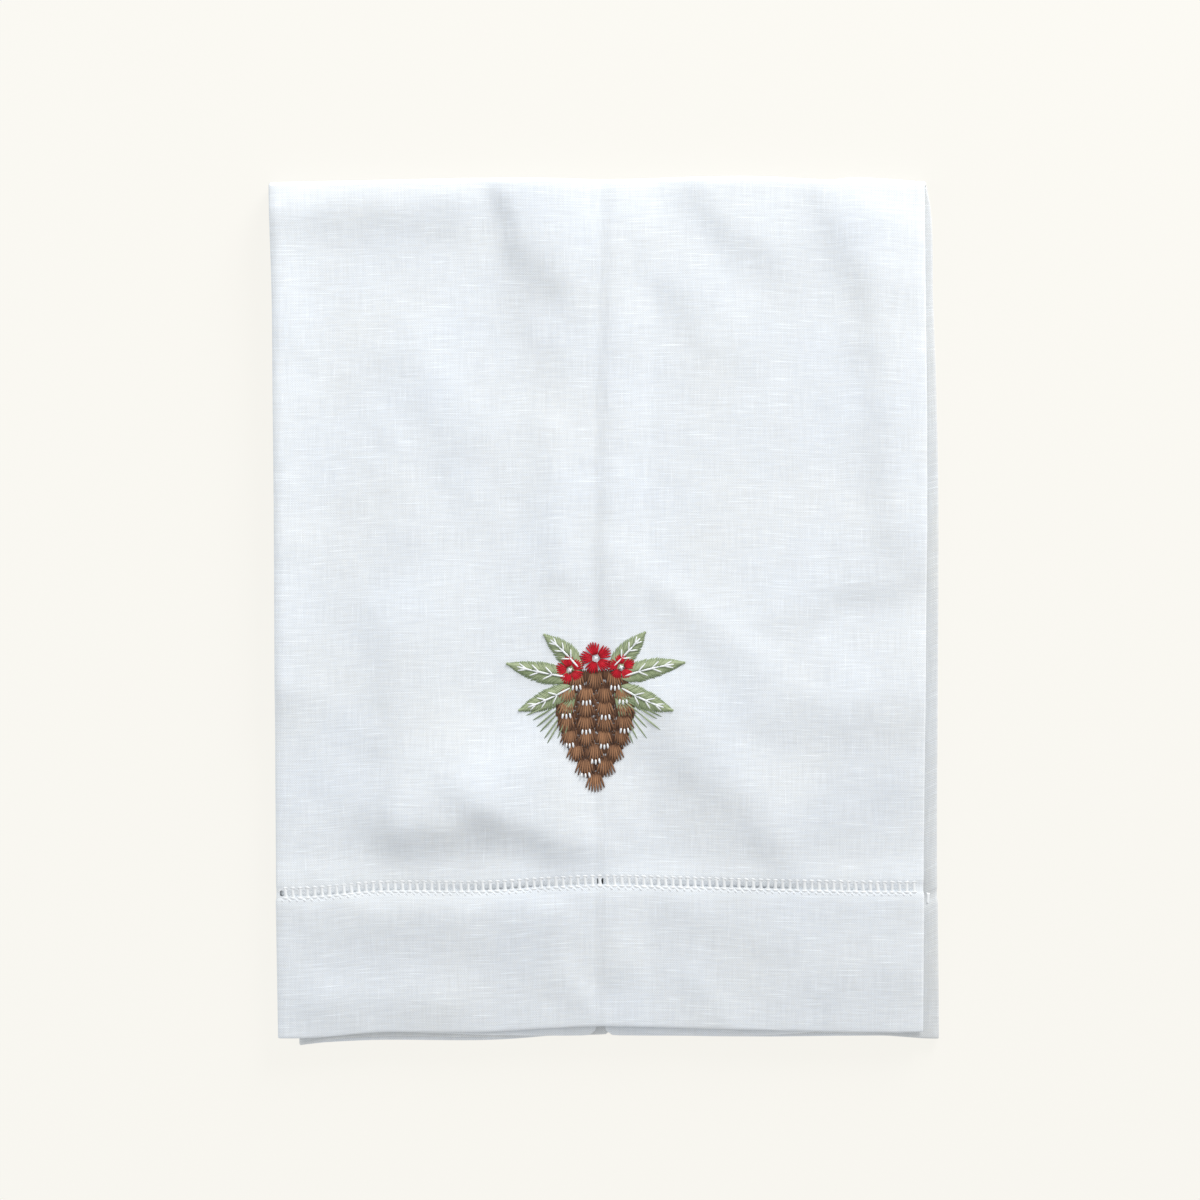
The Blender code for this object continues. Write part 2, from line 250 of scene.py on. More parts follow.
def sectionPlace(u, strip, y):
    # x of a place across the flat cloth, and its height: 1 in the panel, -1 in the flaps
    bulge = stackAt(y)[1] / 2 * fold["foldReach"]
    left = sideAt(strip + "Left", y) + bulge + cloth["thickness"] / 2
    right = sideAt(strip + "Right", y) - bulge - cloth["thickness"] / 2
    slit, halfSlit = sideAt(strip + "Slit", y), sideAt("slitWidth", y) / 2
    if u < flapWidth:
        return slit + halfSlit + (right - slit - halfSlit) * u / flapWidth, -1.0
    u -= flapWidth
    if u < foldLength:
        return right + bulge * math.sin(math.pi * u / foldLength), -math.cos(math.pi * u / foldLength)
    u -= foldLength
    if u <= panelWidth:
        return right + (left - right) * u / panelWidth, 1.0
    u -= panelWidth
    if u < foldLength:
        return left - bulge * math.sin(math.pi * u / foldLength), math.cos(math.pi * u / foldLength)
    u -= foldLength
    return left + (slit - halfSlit - left) * u / flapWidth, -1.0


def inPanel(u):
    return flapWidth + foldLength <= u <= flapWidth + foldLength + panelWidth


def inFlap(u):
    return u < flapWidth or u > clothWidth - flapWidth


def alongPlace(u, v, strip, x):
    # y of a place along the flat cloth, v up from its own hem edge
    edge = fold["hemEdge"] - follow(hems, strip + ("Flap" if inFlap(u) else "Panel"), x)
    fromSlit = min(u, clothWidth - u)
    if fromSlit < fold["cornerRadius"]:
        radius = fold["cornerRadius"]
        rise = radius - math.sqrt(radius**2 - (radius - fromSlit) ** 2)
        edge += rise * (1 - smooth(v / fold["cornerReach"]))
    if inFlap(u):
        covered = 1.0 if strip == "front" else smooth((fold["dropEnd"] - x) / fold["dropFade"])
        above = (v - fold["dropFoot"]) / (cloth["hemDepth"] - fold["dropFoot"] - fold["dropHead"])
        edge -= fold["flapRowDrop"] * covered * smooth(above)
    hemHead = rowHead + cloth["bandHeight"] / 2
    if v <= hemHead:
        return edge + v
    return edge + hemHead + (v - hemHead) / (frontLength - hemHead) * (bendStart(x) - edge - hemHead)


def fromRow(x, y, strip):
    return y - fold["hemEdge"] - cloth["hemDepth"] + follow(hems, strip + "Panel", x)


def closeness(x, y, strip):
    # 1 where the flap touches the panel: at and just above the row, but not at the folds
    inside = min(x - sideAt(strip + "Left", y), sideAt(strip + "Right", y) - x)
    away = abs(fromRow(x, y, strip) - fold["closeOffset"])
    near = smooth(fold["closeFull"] - away / fold["closeReach"])
    return near * smooth(inside / fold["closeEdge"][strip])


def touching(x, y, strip):
    # from the middle of the panel's cloth to the middle of the flap's where they touch
    panelThick = cloth["bandThickness"]
    toHem = smooth(fold["hemShoulder"] - fromRow(x, y, strip) / fold["hemShoulderLength"])
    panelThick += (cloth["hemThickness"] - panelThick) * toHem
    return (panelThick + cloth["thickness"]) / 2 + fold["closeGap"]


def layPlace(u, v, strip):
    y = fold["hemEdge"] + v
    for again in range(3):  # x and y depend on each other
        x, height = sectionPlace(u, strip, y)
        y = alongPlace(u, v, strip, x)
    thick, pitch = stackAt(y)
    closed = closeness(x, y, strip)
    if strip == "back":
        panel = thick / 2 + fold["hemClear"] * hemNearness(y)
        flap = panel + (pitch + (touching(x, y, strip) - pitch) * closed)
    else:
        panel = thick / 2 + 3 * pitch + panelLift(x, y)
        flap = thick / 2 + 2 * pitch
        flap += (panel - touching(x, y, strip) - flap) * closed
    return Vector((x, y, panel + (flap - panel) * (1 - height) / 2))


def foldPlace(u, v):
    # where a place of the flat cloth comes to lie, in millimetres
    if v <= frontLength:
        return layPlace(u, v, "front")
    if v >= frontLength + cloth["bendLength"]:
        return layPlace(u, cloth["length"] - v, "back")
    front, back = layPlace(u, frontLength, "front"), layPlace(u, frontLength, "back")
    angle = math.pi * (v - frontLength) / cloth["bendLength"]
    centre, halfHeight = (front + back) / 2, (front.z - back.z) / 2
    reach = stackAt(front.y)[1] * fold["foldReach"] * (1 + sectionPlace(u, "front", front.y)[1] / 2)
    x = front.x + (back.x - front.x) * angle / math.pi
    return Vector((x, centre.y + reach * math.sin(angle), centre.z + halfHeight * math.cos(angle)))


# The outline's middle is over the frame's origin, as the solid's is.
solidLow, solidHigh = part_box("folded_towel")
lowX = min(sides["frontLeft"] + sides["backLeft"])
highX = max(follow(sides, "backRight", down) for down in range(sides["down"][-1] + 1))
lowY, highY = fold["hemEdge"] - max(hems["backPanel"]), fold["topEdge"]
moveX = (solidLow[0] + solidHigh[0]) / 2 - (lowX + highX) / 2 * mm
moveY = (solidLow[1] + solidHigh[1]) / 2 - (lowY + highY) / 2 * mm
toFrame = Vector((moveX, moveY, 0.0))
print("fold worked out, moved by", [round(value / mm, 2) for value in toFrame], "mm into the frame")


def selectParts(kind, parts, wanted):
    # leaves the active piece in edit mode with only the wanted parts selected
    bpy.ops.object.mode_set(mode="EDIT")
    bpy.ops.mesh.select_mode(type=kind)
    bpy.ops.mesh.select_all(action="DESELECT")
    bpy.ops.object.mode_set(mode="OBJECT")
    for part in parts:
        part.select = wanted(part)
    bpy.ops.object.mode_set(mode="EDIT")


def acrossLines():
    # the flat cloth's lines across its width, with short steps at its free edges and folds
    flap = [*cloth["freeEdge"]] + [cloth["pitch"] * hole for hole in range(1, cloth["flapHoles"] + 1)]
    turn = [flapWidth + foldLength * step / cloth["foldSteps"] for step in range(1, cloth["foldSteps"])]
    start = flapWidth + foldLength
    panel = [start + cloth["pitch"] * hole for hole in range(cloth["panelHoles"] + 1)]
    return flap + turn + panel + [clothWidth - place for place in reversed(flap + turn)]


def alongLines():
    below, lower, higher, above = cloth["rowSteps"]
    hem = [place for place, share in cloth["lip"]]
    steps = round((rowFoot - hem[-1] - below) / cloth["frontRow"])
    hem += [hem[-1] + (rowFoot - below - hem[-1]) * step / steps for step in range(1, steps + 1)]
    hem += [rowFoot - lower, rowFoot, rowHead, rowHead + higher, rowHead + above]
    front, back = [], []
    for rows, spacing in ((front, cloth["frontRow"]), (back, cloth["backRow"])):
        steps = round((frontLength - hem[-1]) / spacing)
        rows += [hem[-1] + (frontLength - hem[-1]) * step / steps for step in range(1, steps + 1)]
    bendStep = cloth["bendLength"] / cloth["bendRows"]
    turn = [frontLength + bendStep * step for step in range(1, cloth["bendRows"])]
    return hem + front + turn + [cloth["length"] - place for place in reversed(hem + back)]


def thicknessAt(u, v):
    fromHem = min(v, cloth["length"] - v)
    fromSide = min(u, clothWidth - u)
    if fromHem < rowFoot - nearly:
        if rowFoot - fromHem < cloth["halfThick"]:
            return (cloth["hemThickness"] + cloth["bandThickness"]) / 2
        lip = [share for place, share in cloth["lip"] if fromHem <= place + nearly]
        return cloth["hemThickness"] * (lip[0] if lip else 1.0)
    if fromHem < rowHead + nearly:
        return cloth["bandThickness"]
    if fromSide < cloth["sideHem"]:
        lip = [share for place, share in cloth["sideLip"] if fromSide < place]
        return cloth["sideHemThickness"] * (lip[0] if lip else 1.0)
    return cloth["thickness"]


def cutFlatCloth():
    across, along = acrossLines(), alongLines()
    columns, rows = len(across) - 1, len(along) - 1
    bpy.ops.object.select_all(action="DESELECT")
    bpy.ops.mesh.primitive_grid_add(x_subdivisions=columns, y_subdivisions=rows, size=2)
    flat = bpy.context.object
    flat.name = "towelCloth"
    for vertex in flat.data.vertices:
        column = round((vertex.co.x + 1) / 2 * columns)
        row = round((vertex.co.y + 1) / 2 * rows)
        vertex.co = (across[column] * mm, along[row] * mm, 0.0)
    for loop, corner in zip(flat.data.loops, flat.data.uv_layers.active.data):
        place = flat.data.vertices[loop.vertex_index].co
        corner.uv = (place.x / (clothWidth * mm), place.y / (cloth["length"] * mm))

    # the drawn-thread rows: each full cell is inset, its corners cut off and its middle cut out
    def isHole(face):
        corners = [flat.data.vertices[index].co for index in face.vertices]
        width = max(corner.x for corner in corners) - min(corner.x for corner in corners)
        fromHem = min(face.center.y, cloth["length"] * mm - face.center.y)
        inRow = abs(fromHem - cloth["hemDepth"] * mm) < nearly * mm
        fromRightFold = (face.center.x / mm - flapWidth - foldLength / 2) / cloth["pitch"]
        closed = cloth["sewnShut"][0] < fromRightFold < cloth["sewnShut"][1]
        return inRow and width > cloth["fullCell"] * cloth["pitch"] * mm and not closed

    selectParts("FACE", flat.data.polygons, isHole)
    bpy.ops.mesh.inset(thickness=cloth["bar"] / 2 * mm, use_individual=True)
    bpy.ops.mesh.select_mode(type="VERT")
    bpy.ops.mesh.bevel(affect="VERTICES", offset=cloth["holeCorner"] * mm, segments=1)
    bpy.ops.mesh.select_mode(type="FACE")
    bpy.ops.mesh.select_all(action="DESELECT")
    bpy.ops.mesh.select_face_by_sides(number=8, type="EQUAL")  # four sides and four cut corners
    bpy.ops.mesh.delete(type="FACE")
    bpy.ops.object.mode_set(mode="OBJECT")
    return flat


def foldCloth(flat):
    # each flat place gets its thickness, what lies under it and its folded place
    weights = flat.vertex_groups.new(name="thickness")
    offSlit = []
    for vertex in flat.data.vertices:
        u, v = vertex.co.x / mm, vertex.co.y / mm
        weights.add([vertex.index], thicknessAt(u, v) / cloth["hemThickness"], "REPLACE")
        place = foldPlace(u, v)
        strip = "frontSlit" if v < cloth["length"] / 2 else "backSlit"
        aside = cloth["aside"] * (1 if strip == "frontSlit" else 2)
        offSlit.append(place.x - sideAt(strip, place.y) if inPanel(u) else aside)
        vertex.co = place * mm + toFrame
    flat.data.attributes.new("offSlit", "FLOAT", "POINT").data.foreach_set("value", offSlit)
    body = flat.modifiers.new("body", "SOLIDIFY")
    body.thickness = cloth["hemThickness"] * mm
    body.offset = 0.0
    body.use_even_offset = True
    body.vertex_group = "thickness"
    bpy.ops.object.modifier_apply(modifier="body")
    bpy.ops.object.shade_smooth_by_angle(angle=math.radians(cloth["sharpAngle"]))
    return flat


towelCloth = foldCloth(cutFlatCloth())
print("cloth folded:", len(towelCloth.data.polygons), "faces")


finish = {"specular": 0.25, "sheenRoughness": 0.5}


def setInputs(node, values):
    for name, value in values.items():
        node.inputs[name].default_value = value


def newMaterial(name, roughness, sheen):
    made = bpy.data.materials.new(name)
    made.use_nodes = True
    shader = made.node_tree.nodes["Principled BSDF"]
    setInputs(shader, {"Roughness": roughness, "Specular IOR Level": finish["specular"]})
    setInputs(shader, {"Sheen Weight": sheen, "Sheen Roughness": finish["sheenRoughness"]})
    return made, shader


def nodeMaker(made):
    # short ways to add a node, a sum, a noise and a smooth step between two values
    tree = made.node_tree
    link = tree.links.new

    def node(kind, **settings):
        added = tree.nodes.new("ShaderNode" + kind)
        for name, value in settings.items():
            setattr(added, name, value)
        return added

    def plug(value, socket):
        if hasattr(value, "links"):
            link(value, socket)
        else:
            socket.default_value = value

    def calc(operation, first, second=0.0, third=0.0):
        added = node("Math", operation=operation)
        for value, socket in zip((first, second, third), added.inputs):
            plug(value, socket)
        return added.outputs[0]

    def spread(value, low, high, toLow, toHigh):
        added = node("MapRange", interpolation_type="SMOOTHSTEP")
        for number, socket in zip((value, low, high, toLow, toHigh), added.inputs):
            plug(number, socket)
        return added.outputs[0]

    def stretchedNoise(coordinates, scale, detail, roughness=0.5):
        place = node("Mapping")
        link(coordinates, place.inputs["Vector"])
        setInputs(place, {"Scale": scale})
        grain = node("TexNoise")
        link(place.outputs[0], grain.inputs["Vector"])
        setInputs(grain, {"Scale": 1.0, "Detail": detail, "Roughness": roughness})
        return grain.outputs["Fac"]

    def addBump(height, distance, shader):
        bump = node("Bump")
        setInputs(bump, {"Strength": 1.0, "Distance": distance})
        link(height, bump.inputs["Height"])
        link(bump.outputs[0], shader.inputs["Normal"])

    return node, calc, stretchedNoise, addBump, spread


linen = {
    "colour": (0.80, 0.84, 0.88),
    "thread": 0.34,  # mm from thread to thread
    "roughness": 0.85, "sheen": 0.1,
    "wander": 0.5,  # how far threads stray, in threads
    "stray": (1.1, 16.0),  # over what width and length, as in each pair below
    "uneven": (0.42, 10.0), "unevenRoughness": 0.6, "weftSlubSize": (0.34, 11.0),
    "warpSlubSize": (0.34, 8.0),
    "weftSlubRise": (0.60, 0.76),  # where in the noise slubs start and are full
    "warpSlubRise": (0.64, 0.80), "blotchSize": (16.0, 16.0), "cloudSize": (28.0, 28.0),
    "fleckSize": (1.0, 1.5),
    "weaveDepth": 0.012,  # mm
    "slubDepth": 0.012, "gapShade": 0.06, "crossingShade": 0.13,
    "weftTone": 0.28, "warpTone": 0.2, "weftSlub": 0.16,
    "warpSlub": 0.1, "blotch": 0.05, "tint": 0.05,
    "tintTurn": (1.0, 0.3, -1.0),  # how the tint goes to red, green and blue
    # painted shade over the slit and painted light over the side hems and the turned-under hem, for
    # what shows through the sheer cloth
    "slitShade": 0.04, "slitEdge": (1.0, 2.1), "sideHemLight": 0.015,
    "sideHemEdge": (1.2, 2.2), "turnLight": 0.012, "turnEdge": 0.4,
    "rowEdge": 1.0,
    "thinShade": 0.13,  # painted shade on the back pair, where nothing but two layers shows
    "thinShadeTint": 0.02,
}


def linenMaterial():
    made, shader = newMaterial("whiteLinen", linen["roughness"], linen["sheen"])
    node, calc, stretchedNoise, addBump, spread = nodeMaker(made)
    link = made.node_tree.links.new
    flatPlace = node("Mapping")
    link(node("UVMap", uv_map="UVMap").outputs[0], flatPlace.inputs["Vector"])
    setInputs(flatPlace, {"Scale": (clothWidth, cloth["length"], 1.0)})
    inMm = flatPlace.outputs[0]
    split = node("SeparateXYZ")
    link(inMm, split.inputs[0])
    acrossMm, alongMm = split.outputs[0], split.outputs[1]

    def grain(size, detail, wide=False, roughness=0.5):
        # noise in streaks along the cloth, or across it
        width, length = size
        scale = (1 / length, 1 / width, 1.0) if wide else (1 / width, 1 / length, 1.0)
        return stretchedNoise(inMm, scale, detail, roughness)

    # plain weave: each thread passes over one and under the next, and strays a little
    warpStray, weftStray = grain(linen["stray"], 2.0), grain(linen["stray"], 2.0, wide=True)
    scale = math.pi / linen["thread"]
    stray = 2 * linen["wander"] * math.pi
    warpAngle = calc("MULTIPLY_ADD", acrossMm, scale, calc("MULTIPLY", warpStray, stray))
    weftAngle = calc("MULTIPLY_ADD", alongMm, scale, calc("MULTIPLY", weftStray, stray))
    warpWave, weftWave = calc("SINE", warpAngle), calc("SINE", weftAngle)
    crossing = calc("MULTIPLY", warpWave, weftWave)
    warp = calc("ADD", calc("ABSOLUTE", warpWave), crossing)
    weft = calc("SUBTRACT", calc("ABSOLUTE", weftWave), crossing)
    weave = calc("MULTIPLY", calc("MAXIMUM", warp, weft), 0.5)

    # uneven threads, and slubs: thick places in single threads, plainer across than along
    weftTone = grain(linen["uneven"], 2.0, wide=True, roughness=linen["unevenRoughness"])
    warpTone = grain(linen["uneven"], 2.0, roughness=linen["unevenRoughness"])
    weftSlub = spread(grain(linen["weftSlubSize"], 1.0, wide=True), *linen["weftSlubRise"], 0.0, 1.0)
    warpSlub = spread(grain(linen["warpSlubSize"], 1.0), *linen["warpSlubRise"], 0.0, 1.0)
    blotch = grain(linen["blotchSize"], 3.0)

    # painted light and shade of what lies below the sheer cloth: painted shade over the slit below,
    # painted light over the flaps' side hems and the turned-under hem edge
    offSlit = calc("ABSOLUTE", node("Attribute", attribute_name="offSlit").outputs["Fac"])
    slit = spread(offSlit, *linen["slitEdge"], linen["slitShade"], 0.0)
    hemEnds = [cloth["sideHem"] + past for past in linen["sideHemEdge"]]
    sideHem = spread(offSlit, *hemEnds, linen["sideHemLight"], 0.0)
    paintedBackShade = spread(offSlit, 1.5 * cloth["aside"], 1.5 * cloth["aside"] + 1.0, 0.0, 1.0)
    fromHem = calc("MINIMUM", alongMm, calc("SUBTRACT", cloth["length"], alongMm))
    turnFoot = rowFoot - cloth["turnUnder"]
    turnEnds = [turnFoot - linen["turnEdge"], turnFoot + linen["turnEdge"]]
    belowRow = spread(fromHem, cloth["hemDepth"], cloth["hemDepth"] + linen["rowEdge"], 1.0, 0.0)
    turned = calc("MULTIPLY", spread(fromHem, *turnEnds, 0.0, linen["turnLight"]), belowRow)

    # painted shade in the gaps between threads, and painted light and shade on alternate crossings;
    # slubs, uneven threads and blotches are the cloth's own tone
    shade = calc("MULTIPLY_ADD", weave, linen["gapShade"], 1.0 - linen["gapShade"] * 0.75)
    for part, amount in ((crossing, "crossingShade"), (weftSlub, "weftSlub"), (warpSlub, "warpSlub")):
        shade = calc("MULTIPLY_ADD", part, linen[amount], shade)
    for uneven, amount in ((weftTone, "weftTone"), (warpTone, "warpTone"), (blotch, "blotch")):
        shade = calc("MULTIPLY_ADD", calc("SUBTRACT", uneven, 0.5), linen[amount], shade)
    # painted light over the side hems and turned hem, painted shade over the slit
    shade = calc("SUBTRACT", calc("ADD", shade, calc("ADD", sideHem, turned)), slit)
    # painted shade and a warmer painted tint on the back pair, where only two layers lie
    shade = calc("MULTIPLY_ADD", paintedBackShade, -linen["thinShade"], shade)
    clouds, flecks = grain(linen["cloudSize"], 2.0), grain(linen["fleckSize"], 2.0, wide=True)
    tintAndShadeWarmth = calc("MULTIPLY", calc("SUBTRACT", calc("ADD", clouds, flecks), 1.0), linen["tint"])
    tintAndShadeWarmth = calc("MULTIPLY_ADD", paintedBackShade, linen["thinShadeTint"], tintAndShadeWarmth)
    colour = node("CombineXYZ")
    for channel, (part, turn) in enumerate(zip(linen["colour"], linen["tintTurn"])):
        tint = calc("MULTIPLY_ADD", tintAndShadeWarmth, turn, 1.0)
        link(calc("MULTIPLY", calc("MULTIPLY", shade, tint), part), colour.inputs[channel])
    link(colour.outputs[0], shader.inputs["Base Color"])

    height = calc("MULTIPLY", weave, linen["weaveDepth"])
    height = calc("MULTIPLY_ADD", calc("MAXIMUM", weftSlub, warpSlub), linen["slubDepth"], height)
    addBump(height, mm, shader)
    return made


towelCloth.data.materials.clear()
towelCloth.data.materials.append(linenMaterial())
print("linen finished")

threads = {  # dark and light colour, roughness, sheen
    "whiteThread": ((0.77, 0.80, 0.83), (0.93, 0.95, 0.96), 0.75, 0.1),
    "brownThread": ((0.06, 0.022, 0.01), (0.44, 0.22, 0.11), 0.55, 0.15),
    "greenThread": ((0.13, 0.19, 0.08), (0.50, 0.57, 0.36), 0.55, 0.15),
    "redThread": ((0.25, 0.0, 0.004), (0.72, 0.008, 0.03), 0.5, 0.05),
}
strand = {"scale": (34.0, 3.0, 1.0), "share": 0.5, "depth": 0.06}  # fine lines along each stitch


def threadMaterial(name):
    dark, light, roughness, sheen = threads[name]
    made, shader = newMaterial(name, roughness, sheen)
    node, calc, stretchedNoise, addBump = nodeMaker(made)[:4]
    link = made.node_tree.links.new
    uv = node("UVMap", uv_map="UVMap").outputs[0]
    strands = stretchedNoise(uv, strand["scale"], 2.0)
    # the shade attribute: each stitch's own tone times the painted shade along its sides
    tone = node("Attribute", attribute_name="shade").outputs["Fac"]
    tone = calc("SUBTRACT", tone, strand["share"] / 2)
    ramp = node("Mix", data_type="RGBA")
    link(calc("MULTIPLY_ADD", strands, strand["share"], tone), ramp.inputs["Factor"])
    ramp.inputs[6].default_value = (*dark, 1.0)
    ramp.inputs[7].default_value = (*light, 1.0)
    link(ramp.outputs[2], shader.inputs["Base Color"])
    addBump(strands, strand["depth"] * mm, shader)
    return made


thread = {
    # sideShade sets how dark the painted shade along each stitch's sides is
    "sides": 8, "cuts": 5, "sideShade": 0.25,
    "narrowing": 2.5, "diving": 3,  # powers by which the ends narrow and dive
}


def modelStitch(name, length, width, height, dive, endShare):
    # one stitch lying along X: full in the middle, its ends narrowed and diving into the cloth
    bpy.ops.object.select_all(action="DESELECT")
    bpy.ops.mesh.primitive_cylinder_add(
        vertices=thread["sides"], radius=width / 2 * mm, depth=length * mm, rotation=(0, math.pi / 2, 0)
    )
    stitch = bpy.context.object
    stitch.name = name
    bpy.ops.object.transform_apply(location=False, rotation=True, scale=True)

    def isLong(edge):
        ends = [stitch.data.vertices[index].co.x for index in edge.vertices]
        return abs(ends[0] - ends[1]) > length / 2 * mm

    selectParts("EDGE", stitch.data.edges, isLong)
    bpy.ops.mesh.subdivide(number_cuts=thread["cuts"])
    rings = [length * (step / (thread["cuts"] + 1) - 0.5) for step in range(thread["cuts"] + 2)]
    for place in rings:
        share = abs(2 * place / length)

        def inRing(vertex):
            return abs(vertex.co.x - place * mm) < nearly * length * mm

        selectParts("VERT", stitch.data.vertices, inRing)
        full = 1 - (1 - endShare) * share ** thread["narrowing"]
        size = (1, full, full * height / width)
        bpy.ops.transform.resize(value=size, center_override=(place * mm, 0, 0))
        bpy.ops.transform.translate(value=(0, 0, -dive * share ** thread["diving"] * mm))
    bpy.ops.mesh.select_all(action="SELECT")
    bpy.ops.mesh.normals_make_consistent(inside=False)
    bpy.ops.object.mode_set(mode="OBJECT")
    bpy.ops.object.shade_smooth()
    # painted shade: each stitch dark along its sides and light on top
    low, top = thread["sideShade"], height / 2 * mm
    shade = [low + (1 - low) * max(0.0, vertex.co.z) / top for vertex in stitch.data.vertices]
    stitch.data.attributes.new("shade", "FLOAT", "POINT").data.foreach_set("value", shade)
    return stitch


def sewCopies(name, model, places, material, slot):
    # a copy of the stitch for each place and shade, joined into one piece
    copies = []
    modelShade = [value.value for value in model.data.attributes["shade"].data]
    for place, shade in places:
        copy = model.copy()
        copy.data = model.data.copy()
        copy.matrix_world = place
        copy.data.attributes["shade"].data.foreach_set("value", [shade * value for value in modelShade])
        bpy.context.scene.collection.objects.link(copy)
        copies.append(copy)
    bpy.ops.object.select_all(action="DESELECT")
    for copy in copies:
        copy.select_set(True)
    bpy.context.view_layer.objects.active = copies[0]
    bpy.ops.object.join()
    bpy.ops.object.transform_apply(location=True, rotation=True, scale=True)
    piece = bpy.context.object
    piece.name = name
    piece.data.materials.clear()
    piece.data.materials.append(material)
    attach(piece, "root")
    print(name + ":", len(places), "stitches,", len(piece.data.polygons), "faces")
    return piece


def between(start, end, up, model, widthShare=1.0, heightShare=1.0):
    # the matrix that lays the model from start to end, all in millimetres
    along = end - start
    length = along.length
    along = along / length
    side = up.cross(along).normalized()
    up = along.cross(side)
    turn = Matrix((along, side, up)).transposed().to_4x4()
    size = Matrix.Diagonal((length / model["length"], widthShare, heightShare, 1.0))
    return Matrix.Translation((start + end) / 2 * mm + toFrame) @ turn @ size


def flatNormal(u, v):
    step = 0.3
    alongU = foldPlace(u + step, v) - foldPlace(u - step, v)
    alongV = foldPlace(u, v + step) - foldPlace(u, v - step)
    return alongV.cross(alongU).normalized()


def onCloth(u, v, height):
    return foldPlace(u, v) + flatNormal(u, v) * height


hemstitch = {
    "bar": {"length": 3.2, "width": 0.92, "height": 0.92, "dive": 0.0, "endShare": 1.15},
    "wrap": {"length": 2.0, "width": 0.75, "height": 0.26, "dive": 0.2, "endShare": 0.35},
    "tie": {"length": 1.3, "width": 0.55, "height": 0.16, "dive": 0.16, "endShare": 0.35},
    "sizes": {"bar": (0.85, 1.15), "wrap": (0.85, 1.1), "tie": (0.85, 1.1)},
    "tones": {"bar": (0.75, 1.0), "wrap": (0.4, 0.9), "tie": (0.1, 0.4)},
    "fromFold": 0.6, "fromSide": 1.0, "wrapFromFold": 2.0,  # no thread lies nearer
    "barFlatness": 0.42, "barLift": 0.08, "barSlants": (-0.048, 0.192),
    "wrapRows": ((-1, 0.3, 0.22), (1, 0.15, 0.28)),  # side of the band, how far past it, height
    "wrapLeans": (0.0, 0.3),
    "tiePlace": (0.9, 0.4),  # beside the bar and past the band
    "tieReach": (0.32, 0.75),  # across and along, as shares of its length
    "tieLeans": (-0.15, 0.15), "tieHeights": (0.4, 0.38),
    "pressed": 0.7,  # how full the threads stand on the underside
}


def sewHemstitch(white):
    band = cloth["bandHeight"] / 2
    bar, wrap, tie = hemstitch["bar"], hemstitch["wrap"], hemstitch["tie"]
    places = {"bar": [], "wrap": [], "tie": []}

    def sew(kind, start, end):
        size, tone = draw(hemstitch["sizes"][kind]), draw(hemstitch["tones"][kind])
        height = hemstitch["barFlatness"] if kind == "bar" else size * fullness
        places[kind].append((between(start, end, up, hemstitch[kind], size, height), tone))

    farRow = cloth["length"] - cloth["hemDepth"]
    for middle, toHem, fullness in ((cloth["hemDepth"], -1, 1.0), (farRow, 1, hemstitch["pressed"])):
        for line in acrossLines():
            beside = [line - hemstitch["fromFold"], line + hemstitch["fromFold"]]
            onOneLayer = all(map(inPanel, beside)) or all(map(inFlap, beside))
            if min(line, clothWidth - line) < hemstitch["fromSide"] or not onOneLayer:
                continue
            slant, reach = toHem * draw(hemstitch["barSlants"]), bar["length"] / 2
            start = onCloth(line + slant, middle - reach, hemstitch["barLift"])
            end = onCloth(line - slant, middle + reach, hemstitch["barLift"])
            up = flatNormal(line, middle)
            sew("bar", start, end)
            clear = hemstitch["wrapFromFold"]
            if not (inPanel(line - clear) and inPanel(line + clear)):
                continue
            # a stitch gathers each bundle of threads above and below, and a slanting one holds the hem
            for side, past, height in hemstitch["wrapRows"]:
                v = middle + toHem * side * (band + past)
                reach, lean = wrap["length"] / 2, draw(hemstitch["wrapLeans"])
                start = onCloth(line + reach, v - lean * toHem, height)
                end = onCloth(line - reach, v + lean * toHem, height)
                sew("wrap", start, end)
            aside, past = hemstitch["tiePlace"]
            v = middle + toHem * (band + past)
            reach, drop = [tie["length"] * share for share in hemstitch["tieReach"]]
            lean = draw(hemstitch["tieLeans"])
            start = onCloth(line + reach + aside, v, hemstitch["tieHeights"][0])
            end = onCloth(line - reach + aside + lean, v + toHem * drop, hemstitch["tieHeights"][1])
            sew("tie", start, end)
    pieces = []
    for kind, name in (("bar", "hemstitchBars"), ("wrap", "hemstitchWraps"), ("tie", "hemstitchTies")):
        model = modelStitch(kind + "Model", **hemstitch[kind])
        pieces.append(sewCopies(name, model, places[kind], white, "white_thread"))
        bpy.data.objects.remove(model, do_unlink=True)
    return pieces


materials = {name: threadMaterial(name) for name in threads}
hemstitchPieces = sewHemstitch(materials["whiteThread"])

motif = {"x": -2.6, "y": -29.0, "stitchStep": 0.52}  # the place of its middle
floss = {"length": 3.2, "width": 0.62, "height": 0.42, "dive": 0.22, "endShare": 0.5}
cone = {
    "top": 12.0, "length": 34.0, "halfWidth": 11.5, "outline": (0.09, 0.72, 0.75),
    "groundLengths": (3.0, 4.6), "groundOverlap": 0.3, "groundEnd": 0.8,
    "groundHeight": 0.1, "groundTones": (0.0, 0.4),
    "shortestColumn": 8,  # in hundredths of the length
    "rows": 8, "rowMiddle": 0.35, "rowRoot": 0.1,
    "scaleWidth": 5.6, "scaleLength": 5.8, "sideShortening": 0.12, "scaleTones": (0.45, 0.7),
    "blades": 7, "rootFan": (0.96, 0.22), "tipFan": (0.05, 0.52), "tipRounding": 0.55,
    "heights": (0.12, 0.42), "middleLight": 0.25, "bladeTones": (-0.2, 0.2),
    "whiteFans": (-0.3, 0.05, 0.4), "whiteStart": (0.5, 1.1), "whiteEnd": (0.62, -0.45),
    "whiteHeights": (0.55, 0.5), "whiteTones": (0.5, 1.0), "whiteWidth": 0.95,
}
